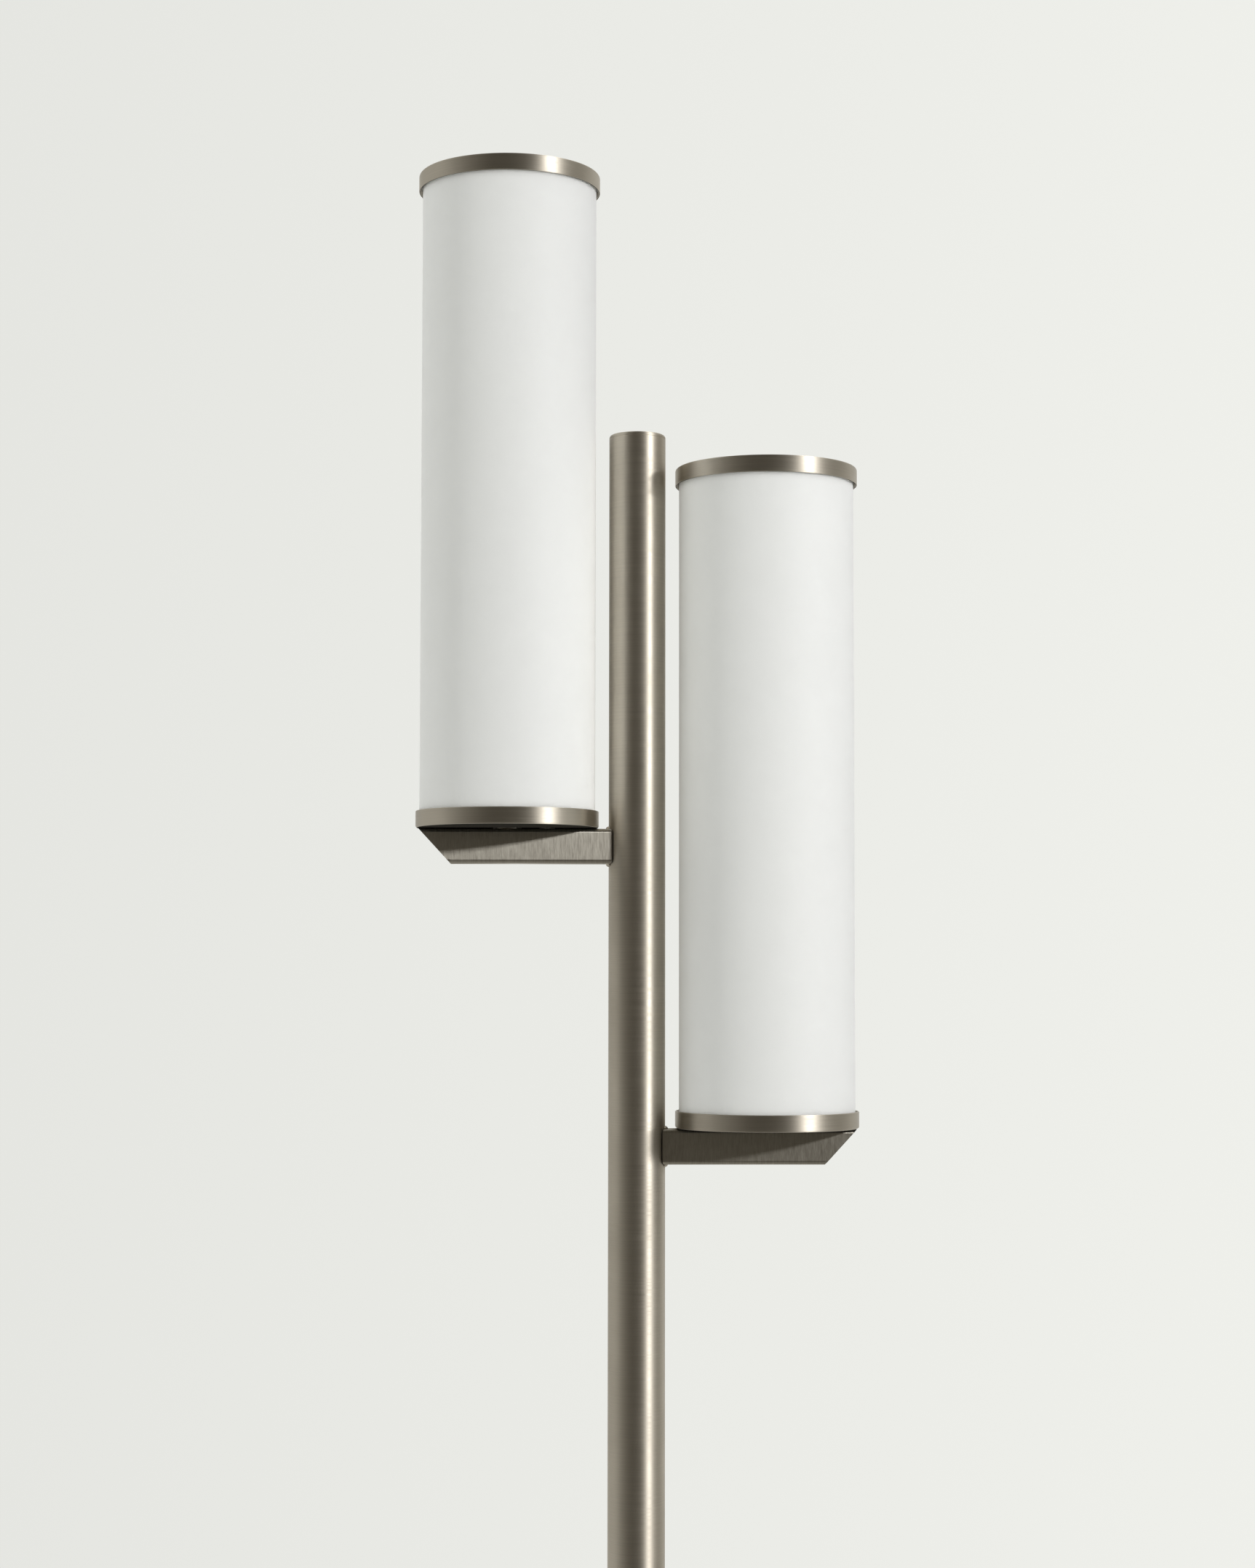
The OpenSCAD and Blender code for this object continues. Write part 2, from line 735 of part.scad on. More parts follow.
// One arm along +X, its top face at z = 0
module arm() {
  difference() {
    arm_section(arm_w, arm_h, arm_corner_r);
    arm_section(arm_w - 2 * arm_wall, arm_h - 2 * arm_wall, arm_bore_r);
    past_cut(end_plate_t, 10 * arm_h);
    // the end is shaped round the pole
    translate([0, 0, -2 * arm_h])
      cylinder(r = pole_r + cope_gap, h = 4 * arm_h);
    // holes in the top wall for the stud and the wire bush
    translate([light_offset, 0, -arm_h / 2])
      cylinder(r = stud_r + thread_gap, h = arm_h, $fn = 48);
    translate([light_offset - bush_offset, 0, -arm_h / 2])
      cylinder(r = bush_neck_r + seat_gap, h = arm_h, $fn = 48);
  }
}

module end_plate() {
  intersection() {
    arm_section(arm_w, arm_h, arm_corner_r);
    past_cut(end_plate_t, end_plate_t);
  }
}

// Round bead along one edge of the joint, lying on a flat face and against the pole
weld_inner_r = pole_r + seat_gap / 2;
module weld_fillet() {
  half_angle = asin((arm_w / 2 - weld_edge) / (weld_inner_r + weld_leg));
  rotate([0, 0, -half_angle])
    rotate_extrude(angle = 2 * half_angle)
      polygon(concat([[weld_inner_r, 0]], arc_points(weld_inner_r, 0, weld_leg, 0, 90)));
}

module arm_welds() {
  weld_fillet();
  translate([0, 0, -arm_h])
    mirror([0, 0, 1])
      weld_fillet();
}

// Places what is modelled along +X on the arm of one side
module on_arm(side) {
  translate([0, 0, arm_top_z(side)])
    rotate([0, 0, side < 0 ? 180 : 0])
      children();
}

module arm_left() { color(nickel) on_arm(left_side) arm(); }
module arm_right() { color(nickel) on_arm(right_side) arm(); }
module arm_end_plate_left() { color(nickel) on_arm(left_side) end_plate(); }
module arm_end_plate_right() { color(nickel) on_arm(right_side) end_plate(); }
module arm_welds_left() { color(nickel) on_arm(left_side) arm_welds(); }
module arm_welds_right() { color(nickel) on_arm(right_side) arm_welds(); }

// ---------------------------------------------------------------- tray and cap

// Half section of the pressed cup, floor at z = 0 and rim at the top
cup_outline = concat(
  [[0, 0]],
  arc_points(cup_r - cup_corner_r, cup_corner_r, cup_corner_r, -90, 0),
  [[cup_r, cup_h - rim_r], [cup_r - rim_r, cup_h]],
  [[cup_bore_r + rim_r / 2, cup_h], [cup_bore_r, cup_h - rim_r / 2]],
  arc_points(cup_bore_r - cup_inner_corner_r, cup_floor + cup_inner_corner_r, cup_inner_corner_r, 0, -90),
  [[0, cup_floor]]
);

module cup() {
  rotate_extrude($fn = 180)
    polygon(cup_outline);
}

// Ring with a centring lip round the shade's end
module gasket() {
  translate([0, 0, cup_floor])
    rotate_extrude($fn = 120)
      polygon([
        [gasket_inner_r, 0], [gasket_outer_r - gasket_foot_cut, 0], [gasket_outer_r, gasket_foot_cut],
        [gasket_outer_r, gasket_t + gasket_lip_h], [gasket_lip_inner_r, gasket_t + gasket_lip_h],
        [gasket_lip_inner_r, gasket_t], [gasket_inner_r, gasket_t]
      ]);
}

module tray(side) {
  color(nickel)
    at_light(side)
      difference() {
        cup();
        translate([0, 0, -over])
          cylinder(r = stud_r + thread_gap, h = cup_h, $fn = 48);
        translate([-side * bush_offset, 0, -over])
          cylinder(r = bush_neck_r + seat_gap, h = cup_h, $fn = 48);
      }
}

module shade_cap(side) {
  color(nickel)
    at_light(side)
      translate([0, 0, light_h])
        mirror([0, 0, 1])
          cup();
}

module tray_gasket(side) {
  color(silicone)
    at_light(side)
      gasket();
}

module cap_gasket(side) {
  color(silicone)
    at_light(side)
      translate([0, 0, light_h])
        mirror([0, 0, 1])
          gasket();
}

module shade_tube(side) {
  color(opal)
    at_light(side)
      translate([0, 0, shade_bottom])
        rotate_extrude($fn = 180)
          polygon([
            [shade_r - shade_wall, 0], [shade_r - shade_chamfer, 0], [shade_r, shade_chamfer],
            [shade_r, shade_len - shade_chamfer], [shade_r - shade_chamfer, shade_len],
            [shade_r - shade_wall, shade_len]
          ]);
}

module tray_left() { tray(left_side); }
module tray_right() { tray(right_side); }
module tray_gasket_left() { tray_gasket(left_side); }
module tray_gasket_right() { tray_gasket(right_side); }
module cap_gasket_left() { cap_gasket(left_side); }
module cap_gasket_right() { cap_gasket(right_side); }
module shade_cap_left() { shade_cap(left_side); }
module shade_cap_right() { shade_cap(right_side); }
module shade_tube_left() { shade_tube(left_side); }
module shade_tube_right() { shade_tube(right_side); }

// ---------------------------------------------------------------- stud, bush and lampholder

module tray_spacer(side) {
  color(nickel)
    at_light(side)
      translate([0, 0, -spacer_h])
        tube(spacer_d / 2, stud_r + thread_gap, spacer_h);
}

module stud(side) {
  color(dark_steel)
    at_light(side)
      translate([0, 0, lower_nut_bottom - stud_tail])
        pointed_bar(stud_r, stud_top - lower_nut_bottom + stud_tail, stud_point, stud_point);
}

module stud_nuts(side) {
  color(dark_steel)
    at_light(side)
      for (z = [lower_nut_bottom, cup_floor])
        translate([0, 0, z])
          hex_nut(nut_af, stud_r + thread_gap, nut_t);
}

// Bush that lines the two wire holes; its wide middle shows in the gap under the tray
module wire_bush(side) {
  foot = -spacer_h - arm_wall - bush_end_h;
  color(nylon)
    at_light(side)
      translate([-side * bush_offset, 0, 0])
        rotate_extrude($fn = 64)
          polygon([
            [bush_bore_r, foot], [bush_neck_r, foot],
            [bush_neck_r, -spacer_h], [bush_d / 2, -spacer_h], [bush_d / 2, 0], [bush_neck_r, 0],
            [bush_neck_r, cup_floor + bush_end_h], [bush_bore_r, cup_floor + bush_end_h]
          ]);
}

// Half section of the holder: round seat, shoulder, straight skirt and the cavity for the screw shell
holder_outline = [
  [stud_r + thread_gap, holder_bottom], [holder_seat_r, holder_bottom],
  [holder_seat_r, holder_bottom + holder_rim_r], [holder_r, holder_bottom + holder_shoulder_h],
  [holder_r, holder_top - holder_rim_r], [holder_r - holder_rim_r, holder_top],
  [holder_cavity_r, holder_top], [holder_cavity_r, holder_foot_top],
  [0, holder_foot_top], [0, holder_bottom + holder_bore_depth],
  [stud_r + thread_gap, holder_bottom + holder_bore_depth]
];

module lampholder(side) {
  groove_h = holder_top - 2 * holder_rim_r - holder_foot_top;
  color(black_plastic)
    at_light(side)
      difference() {
        rotate_extrude()
          polygon(holder_outline);
        // hole for the flex, on the side towards the pole
        translate([-side * (holder_r - entry_depth - seat_gap), 0, entry_axis_z])
          rotate([0, -side * 90, 0])
            cylinder(r = flex_r + seat_gap, h = holder_r, $fn = 32);
        // grip grooves round the skirt
        for (i = [0 : holder_grooves - 1])
          rotate([0, 0, 360 * i / holder_grooves])
            translate([holder_r - holder_groove_depth, -holder_groove_w / 2, holder_foot_top])
              cube([holder_r, holder_groove_w, groove_h]);
      }
}

// Threaded shell with its floor and the spring contact in the middle
module screw_shell(side) {
  color(brass)
    at_light(side)
      translate([0, 0, holder_foot_top])
        rotate_extrude()
          polygon([
            [0, 0], [shell_r, 0], [shell_r, shell_h], [shell_r - shell_t, shell_h],
            [shell_r - shell_t, shell_t], [contact_r, shell_t],
            [contact_r - 1, shell_t + contact_h], [0, shell_t + contact_h]
          ]);
}

// Screw cap with a rounded thread of real pitch, drawn as rings
thread_pitch = 3.6;
thread_depth = 0.8;
thread_steps = 8;
thread_start_h = 1;
thread_rings = floor((bulb_cap_h - thread_pitch - 2 * thread_start_h) / thread_pitch);
cap_cone_w = 2;
function thread_outline(z0) = [for (i = [0 : thread_rings * thread_steps])
  [bulb_cap_r - thread_depth / 2 * (1 - cos(360 * i / thread_steps)), z0 + thread_pitch * i / thread_steps]];

module bulb_cap(side) {
  z0 = bulb_cap_bottom + bulb_tip_h;
  color(nickel)
    at_light(side)
      rotate_extrude()
        polygon(concat(
          [[0, bulb_cap_bottom], [contact_r, bulb_cap_bottom], [contact_r + cap_cone_w, bulb_cap_bottom + 1]],
          [[bulb_cap_r - cap_cone_w, z0]],
          thread_outline(z0 + thread_start_h),
          [[bulb_cap_r, bulb_cap_top], [0, bulb_cap_top]]
        ));
}

// Collar, tube and round end of the bulb
module bulb_tube(side) {
  top = bulb_bottom + bulb_len;
  color(opal)
    at_light(side)
      rotate_extrude()
        polygon(concat(
          [[0, bulb_bottom], [bulb_cap_r, bulb_bottom], [collar_r, bulb_bottom + collar_edge]],
          [[collar_r, collar_top], [bulb_r, collar_top + bulb_shoulder_h]],
          arc_points(0, top - bulb_r, bulb_r, 0, 90)
        ));
}

module tray_spacer_left() { tray_spacer(left_side); }
module tray_spacer_right() { tray_spacer(right_side); }
module stud_left() { stud(left_side); }
module stud_right() { stud(right_side); }
module stud_nuts_left() { stud_nuts(left_side); }
module stud_nuts_right() { stud_nuts(right_side); }
module wire_bush_left() { wire_bush(left_side); }
module wire_bush_right() { wire_bush(right_side); }
module lampholder_left() { lampholder(left_side); }
module lampholder_right() { lampholder(right_side); }
module screw_shell_left() { screw_shell(left_side); }
module screw_shell_right() { screw_shell(right_side); }
module bulb_cap_left() { bulb_cap(left_side); }
module bulb_cap_right() { bulb_cap(right_side); }
module bulb_tube_left() { bulb_tube(left_side); }
module bulb_tube_right() { bulb_tube(right_side); }

// ---------------------------------------------------------------- nodes

base_pad();
base_weight();
base_cover();
cord_bushing();
base_bolt();
base_washer();
pole_foot_slug();
pole_lower();
pole_coupler();
pole_upper();
pole_cap();
switch_body();
switch_ring_nut();
switch_spring();
switch_button();
flex_main();
wire_connector();
flex_left();
flex_right();
arm_left();
arm_right();
arm_end_plate_left();
arm_end_plate_right();
arm_welds_left();
arm_welds_right();
tray_spacer_left();
tray_spacer_right();
tray_left();
tray_right();
tray_gasket_left();
tray_gasket_right();
stud_left();
stud_right();
stud_nuts_left();
stud_nuts_right();
wire_bush_left();
wire_bush_right();
lampholder_left();
lampholder_right();
screw_shell_left();
screw_shell_right();
bulb_cap_left();
bulb_cap_right();
bulb_tube_left();
bulb_tube_right();
shade_tube_left();
shade_tube_right();
cap_gasket_left();
cap_gasket_right();
shade_cap_left();
shade_cap_right();
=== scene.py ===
"""Looks of a pole floor lamp with two upright opal tube lights.

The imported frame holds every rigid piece. This script gives each piece its finish, puts finer meshes in the
place of the plain weld fillets, the smooth threads and the coarse spring, and sets the camera, floor and light.
Lengths are in metres, in the frame's own axes: +Z up the pole, -Y the front, +X to the right.
"""

import json
import math

import bmesh
import bpy
from mathutils import Matrix, Vector


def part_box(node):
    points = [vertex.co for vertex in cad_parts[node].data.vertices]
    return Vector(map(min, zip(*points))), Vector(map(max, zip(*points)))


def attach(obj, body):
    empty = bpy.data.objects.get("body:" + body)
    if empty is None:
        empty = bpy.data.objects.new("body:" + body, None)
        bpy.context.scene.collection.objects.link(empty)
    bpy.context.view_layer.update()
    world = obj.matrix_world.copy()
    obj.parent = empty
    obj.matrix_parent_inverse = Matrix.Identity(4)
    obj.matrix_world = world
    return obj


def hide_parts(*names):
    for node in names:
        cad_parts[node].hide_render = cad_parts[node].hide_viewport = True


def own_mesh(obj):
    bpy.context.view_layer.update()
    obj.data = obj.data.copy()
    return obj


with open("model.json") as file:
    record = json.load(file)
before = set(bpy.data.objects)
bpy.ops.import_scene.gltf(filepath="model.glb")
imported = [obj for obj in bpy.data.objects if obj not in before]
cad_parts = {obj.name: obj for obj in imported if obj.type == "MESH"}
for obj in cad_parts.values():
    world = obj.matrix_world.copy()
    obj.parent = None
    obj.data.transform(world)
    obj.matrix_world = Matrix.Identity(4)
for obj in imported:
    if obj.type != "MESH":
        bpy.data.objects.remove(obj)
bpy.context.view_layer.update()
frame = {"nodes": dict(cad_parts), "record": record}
nodes = frame["nodes"]

MM = 0.001
WHOLE_TURN = 2 * math.pi
SIDES = ("left", "right")


# ---------------------------------------------------------------- places worked out from the frame

def middle(node):
    """Centre of a node's box."""
    low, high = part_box(node)
    return (low + high) / 2


def radius_of(node):
    """Half of a node's width."""
    low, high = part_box(node)
    return (high.x - low.x) / 2


LIGHT_OFFSET = middle("tray_right").x


# ---------------------------------------------------------------- node helpers

def put(tree, kind, values=None, **settings):
    """Adds a node. Settings are its own properties; values go to its inputs, by name or number.
    A value that is itself an output socket is linked."""
    made = tree.nodes.new(kind)
    for name, setting in settings.items():
        setattr(made, name, setting)
    for key, value in (values or {}).items():
        if isinstance(value, bpy.types.NodeSocket):
            tree.links.new(value, made.inputs[key])
        else:
            made.inputs[key].default_value = value
    return made


def maths(tree, operation, *values):
    """Output of a Math node; each value is a number or a socket."""
    return put(tree, "ShaderNodeMath", dict(enumerate(values)), operation=operation).outputs[0]


def spread(tree, value, low, high):
    """Maps a 0 to 1 value to the range from low to high."""
    return put(tree, "ShaderNodeMapRange", {"Value": value, "To Min": low, "To Max": high}).outputs["Result"]


# The Mix node's sockets for colours, which share their names with those for numbers.
MIX_SHARE, MIX_FIRST, MIX_SECOND, MIX_RESULT = 0, 6, 7, 2


def blend_colours(tree, share, first, second):
    """Mixes two colours, given as four numbers or as sockets."""
    values = {MIX_SHARE: share, MIX_FIRST: first, MIX_SECOND: second}
    return put(tree, "ShaderNodeMix", values, data_type="RGBA").outputs[MIX_RESULT]


def new_group(name, inputs, outputs):
    """An empty node group with float sockets, apart from a Vector input. Returns it with its two ends."""
    tree = bpy.data.node_groups.new(name, "ShaderNodeTree")
    tree.interface.new_socket("Vector", in_out="INPUT", socket_type="NodeSocketVector")
    for label, default in inputs.items():
        made = tree.interface.new_socket(label, in_out="INPUT", socket_type="NodeSocketFloat")
        made.default_value = default
    for label in outputs:
        tree.interface.new_socket(label, in_out="OUTPUT", socket_type="NodeSocketFloat")
    return tree, put(tree, "NodeGroupInput"), put(tree, "NodeGroupOutput")


# ---------------------------------------------------------------- effects that several finishes share

# A ring spacing so wide that no ring shows.
NO_RINGS = 1000.0
BRUSH_NOISE = {"Scale": 1.0, "Detail": 3.0, "Roughness": 0.6}
BRUSH_CONTRAST = {"From Min": 0.25, "From Max": 0.75}
MARKS_NOISE = {"Detail": 4.0, "Roughness": 0.55, "Distortion": 0.6}
MARKS_CONTRAST = {"From Min": 0.3, "From Max": 0.7}


def make_brush_lines():
    """Fine lines of a brushed or turned surface. The spacings say how far apart lines lie along each axis;
    Ring Spacing does the same outwards from an upright axis that stands at +Ring Centre and at -Ring Centre."""
    tree, start, end = new_group(
        "Brush lines",
        {"Spacing X": 1 * MM, "Spacing Y": 1 * MM, "Spacing Z": 1 * MM, "Ring Spacing": NO_RINGS,
         "Ring Centre": 0.0},
        ["Lines"],
    )
    axes = put(tree, "ShaderNodeSeparateXYZ", {0: start.outputs["Vector"]}).outputs
    from_axis = maths(tree, "SUBTRACT", maths(tree, "ABSOLUTE", axes["X"]), start.outputs["Ring Centre"])
    radius = maths(tree, "SQRT", maths(tree, "ADD", maths(tree, "POWER", from_axis, 2.0),
                                       maths(tree, "POWER", axes["Y"], 2.0)))
    stretched = put(tree, "ShaderNodeCombineXYZ", {
        axis: maths(tree, "DIVIDE", axes[axis], start.outputs["Spacing " + axis]) for axis in "XYZ"
    }).outputs[0]
    noise = put(tree, "ShaderNodeTexNoise", {
        "Vector": stretched, "W": maths(tree, "DIVIDE", radius, start.outputs["Ring Spacing"]), **BRUSH_NOISE,
    }, noise_dimensions="4D")
    sharper = put(tree, "ShaderNodeMapRange", {"Value": noise.outputs[0], **BRUSH_CONTRAST})
    tree.links.new(sharper.outputs["Result"], end.inputs["Lines"])
    return tree


def make_handling_marks():
    """Broad faint patches, as hands and a cloth leave them on a surface."""
    tree, start, end = new_group("Handling marks", {"Size": 50 * MM}, ["Marks"])
    scale = maths(tree, "DIVIDE", 1.0, start.outputs["Size"])
    cloudy = put(tree, "ShaderNodeTexNoise", {"Vector": start.outputs["Vector"], "Scale": scale, **MARKS_NOISE})
    stronger = put(tree, "ShaderNodeMapRange", {"Value": cloudy.outputs[0], **MARKS_CONTRAST})
    tree.links.new(stronger.outputs["Result"], end.inputs["Marks"])
    return tree


def make_moulded_grain():
    """Small even pits of a cast or moulded surface."""
    tree, start, end = new_group("Moulded grain", {"Size": 0.5 * MM}, ["Grain"])
    scale = maths(tree, "DIVIDE", 1.0, start.outputs["Size"])
    cells = put(tree, "ShaderNodeTexVoronoi", {"Vector": start.outputs["Vector"], "Scale": scale},
                feature="SMOOTH_F1")
    tree.links.new(cells.outputs["Distance"], end.inputs["Grain"])
    return tree


BRUSH_LINES = make_brush_lines()
HANDLING_MARKS = make_handling_marks()
MOULDED_GRAIN = make_moulded_grain()


def effect(tree, group, values):
    """Output of an effect group, placed in a material on the piece's own coordinates."""
    place = put(tree, "ShaderNodeTexCoord").outputs["Object"]
    made = put(tree, "ShaderNodeGroup", node_tree=group)
    tree.links.new(place, made.inputs["Vector"])
    for label, value in values.items():
        made.inputs[label].default_value = value
    return made.outputs[0]


def new_material(name):
    """A material with a bare Principled shader. Returns the material, its tree and the shader."""
    made = bpy.data.materials.new(name)
    made.use_nodes = True
    return made, made.node_tree, made.node_tree.nodes["Principled BSDF"]


def set_inputs(shader, values):
    """Sets or links the shader's inputs by name."""
    for name, value in values.items():
        if isinstance(value, bpy.types.NodeSocket):
            shader.id_data.links.new(value, shader.inputs[name])
        else:
            shader.inputs[name].default_value = value


def relief(tree, height, distance):
    """Normal of a surface whose height, from 0 to 1, stands for that distance."""
    return put(tree, "ShaderNodeBump", {"Height": height, "Distance": distance}).outputs["Normal"]


# ---------------------------------------------------------------- metal finishes

NICKEL_LIGHT = (0.75, 0.70, 0.61, 1.0)
NICKEL_DARK = (0.62, 0.572, 0.49, 1.0)
ARM_LIGHT = (0.62, 0.59, 0.515, 1.0)
ARM_DARK = (0.44, 0.41, 0.35, 1.0)
# The turn that lays the wide side of a gleam along the upright axis.
ALONG_AXIS = 0.25
METAL_MARKS = 60 * MM
# How far brush lines and handling marks move a metal's roughness down and up.
LINES_IN_GLOSS = (0.85, 1.15)
MARKS_IN_GLOSS = (0.95, 1.08)
# How far up a face looks where the painted shade on faces that look down ends: at -1 it looks straight down.
PAINTED_SHADE_ENDS = {"From Min": -0.95, "From Max": -0.7}


def brushed_metal(name, light, dark, lines, roughness, line_depth, across=0.0, turn=0.0, below=1.0):
    """Metal with brush lines. Across is how much rougher it is across its lines than along them, and turn
    the angle, as a share of a full turn, from the direction round the upright axis to that across direction.
    Below is how bright a face that looks straight down is painted against the others: painted shade, which also
    takes that face's metal and gloss away."""
    made, tree, shader = new_material(name)
    line_value = effect(tree, BRUSH_LINES, lines)
    marks = effect(tree, HANDLING_MARKS, {"Size": METAL_MARKS})
    rough_lines = spread(tree, line_value, *(roughness * share for share in LINES_IN_GLOSS))
    rough_marks = spread(tree, marks, *MARKS_IN_GLOSS)
    colour = blend_colours(tree, line_value, dark, light)
    # Painted shade: faces that look down get their colour scaled down to below and lose metal and gloss; plated
    # is the share of a face outside that painted shade.
    if below < 1:
        facing = put(tree, "ShaderNodeNewGeometry").outputs["True Normal"]
        upright = put(tree, "ShaderNodeSeparateXYZ", {0: facing}).outputs["Z"]
        plated = put(tree, "ShaderNodeMapRange", {"Value": upright, **PAINTED_SHADE_ENDS}).outputs["Result"]
        share = spread(tree, plated, below, 1.0)
        colour = put(tree, "ShaderNodeVectorMath", {0: colour, "Scale": share}, operation="SCALE").outputs[0]
        set_inputs(shader, {"Metallic": plated, "Specular IOR Level": 0.0})
    else:
        set_inputs(shader, {"Metallic": 1.0})
    set_inputs(shader, {
        "Base Color": colour,
        "Roughness": maths(tree, "MULTIPLY", rough_lines, rough_marks),
        "Normal": relief(tree, line_value, line_depth),
        "Anisotropic": across,
        "Anisotropic Rotation": turn,
    })
    if across:
        round_axis = put(tree, "ShaderNodeTangent", direction_type="RADIAL", axis="Z").outputs[0]
        set_inputs(shader, {"Tangent": round_axis})
    return made


def pole_finish():
    """Satin nickel, finely brushed round the tube."""
    return brushed_metal(
        "satin_nickel_pole", NICKEL_LIGHT, NICKEL_DARK,
        {"Spacing X": 30 * MM, "Spacing Y": 30 * MM, "Spacing Z": 0.6 * MM},
        roughness=0.6, line_depth=0.0005 * MM, across=0.86, turn=ALONG_AXIS,
    )


def arm_finish():
    """Satin nickel, brushed across the arm."""
    return brushed_metal(
        "satin_nickel_arm", ARM_LIGHT, ARM_DARK,
        {"Spacing X": 0.7 * MM, "Spacing Y": 7 * MM, "Spacing Z": 7 * MM},
        roughness=0.46, line_depth=0.03 * MM, across=0.86,
    )


def cup_finish():
    """Satin nickel, turned: fine rings round each light's axis. Its faces that look down, such as a tray's
    underside, carry painted shade, almost black.
    """
    return brushed_metal(
        "turned_nickel_cup", NICKEL_LIGHT, NICKEL_DARK,
        {"Spacing X": 40 * MM, "Spacing Y": 40 * MM, "Spacing Z": 0.5 * MM, "Ring Spacing": 0.5 * MM,
         "Ring Centre": LIGHT_OFFSET},
        roughness=0.57, line_depth=0.0005 * MM, across=0.93, turn=ALONG_AXIS, below=0.05,
    )


def cover_finish():
    """Satin nickel, spun: fine rings round the pole's axis."""
    return brushed_metal(
        "spun_nickel_cover", NICKEL_LIGHT, NICKEL_DARK,
        {"Spacing X": 60 * MM, "Spacing Y": 60 * MM, "Spacing Z": 0.6 * MM, "Ring Spacing": 0.6 * MM},
        roughness=0.27, line_depth=0.004 * MM,
    )


def weld_finish():
    """Weld metal, dressed and plated with the arm."""
    return brushed_metal(
        "plated_weld", NICKEL_LIGHT, NICKEL_DARK,
        {"Spacing X": 1 * MM, "Spacing Y": 1 * MM, "Spacing Z": 1 * MM},
        roughness=0.32, line_depth=0.01 * MM,
    )


def plated_part_finish():
    """Small turned parts with nickel plate."""
    return brushed_metal(
        "plated_turned_part", NICKEL_LIGHT, NICKEL_DARK,
        {"Spacing X": 10 * MM, "Spacing Y": 10 * MM, "Spacing Z": 0.2 * MM},
        roughness=0.26, line_depth=0.003 * MM,
    )


def zinc_finish():
    """Zinc plated steel of the hidden fasteners."""
    return brushed_metal(
        "zinc_plated_steel", (0.62, 0.64, 0.66, 1.0), (0.5, 0.52, 0.55, 1.0),
        {"Spacing X": 1.5 * MM, "Spacing Y": 1.5 * MM, "Spacing Z": 1.5 * MM},
        roughness=0.38, line_depth=0.006 * MM,
    )


def brass_finish():
    """Plain brass sheet of the screw shell."""
    return brushed_metal(
        "brass_shell", (0.84, 0.66, 0.34, 1.0), (0.72, 0.54, 0.26, 1.0),
        {"Spacing X": 4 * MM, "Spacing Y": 4 * MM, "Spacing Z": 0.4 * MM},
        roughness=0.3, line_depth=0.003 * MM,
    )


def bulb_cap_finish():
    """Thin pressed aluminium alloy of the bulb's screw cap."""
    return brushed_metal(
        "pressed_bulb_cap", (0.8, 0.8, 0.8, 1.0), (0.7, 0.7, 0.7, 1.0),
        {"Spacing X": 6 * MM, "Spacing Y": 6 * MM, "Spacing Z": 0.5 * MM},
        roughness=0.3, line_depth=0.003 * MM,
    )


# ---------------------------------------------------------------- other finishes

MOULDED_MARKS = 40 * MM
MARKS_IN_MOULDED_GLOSS = (0.92, 1.08)
# Light that enters opal plastic scatters through it, so thin walls pass some of it on.
OPAL = {
    "IOR": 1.49, "Subsurface Weight": 1.0, "Subsurface Radius": (1.0, 1.0, 1.0), "Subsurface Scale": 12 * MM,
}


def grained(name, light, dark, roughness, grain_size, grain_depth, marks_size=MOULDED_MARKS, inside=None):
    """A moulded or cast material: pits for its grain and broad marks in its colour and gloss. Inside holds
    the shader's values for what light does below the surface."""
    made, tree, shader = new_material(name)
    grain = effect(tree, MOULDED_GRAIN, {"Size": grain_size})
    marks = effect(tree, HANDLING_MARKS, {"Size": marks_size})
    set_inputs(shader, {
        "Base Color": blend_colours(tree, marks, dark, light),
        "Roughness": spread(tree, marks, *(roughness * share for share in MARKS_IN_MOULDED_GLOSS)),
        "Normal": relief(tree, grain, grain_depth),
    })
    set_inputs(shader, inside or {})
    return made


def opal_shade_finish():
    """Opal plastic with a satin outside: the broad marks stay barely visible."""
    return grained("opal_shade", (0.866, 0.874, 0.842, 1.0), (0.852, 0.859, 0.828, 1.0), 0.66,
                   0.9 * MM, 0.002 * MM, marks_size=20 * MM, inside=OPAL)


def opal_bulb_finish():
    """Opal diffuser tube of the bulb."""
    return grained("opal_bulb", (0.75, 0.75, 0.735, 1.0), (0.72, 0.72, 0.705, 1.0), 0.32,
                   1.5 * MM, 0.002 * MM, inside=OPAL)


def iron_finish():
    """Cast iron under black paint."""
    return grained("painted_cast_iron", (0.035, 0.035, 0.036, 1.0), (0.022, 0.022, 0.023, 1.0), 0.55,
                   1.2 * MM, 0.15 * MM)


def rubber_finish():
    """Floor pad."""
    return grained("pad_rubber", (0.028, 0.028, 0.028, 1.0), (0.018, 0.018, 0.018, 1.0), 0.8,
                   0.8 * MM, 0.06 * MM)


def black_plastic_finish():
    """Switch, bushing and connector, with a fine eroded texture."""
    return grained("textured_black_plastic", (0.034, 0.034, 0.035, 1.0), (0.024, 0.024, 0.025, 1.0), 0.46,
                   0.35 * MM, 0.03 * MM)


def holder_finish():
    """Glossy moulded lampholder."""
    return grained("moulded_holder", (0.03, 0.03, 0.03, 1.0), (0.02, 0.02, 0.02, 1.0), 0.22,
                   2 * MM, 0.004 * MM)


def silicone_finish():
    """Translucent grey gasket."""
    return grained("silicone_gasket", (0.62, 0.62, 0.6, 1.0), (0.55, 0.55, 0.53, 1.0), 0.6,
                   0.5 * MM, 0.01 * MM)


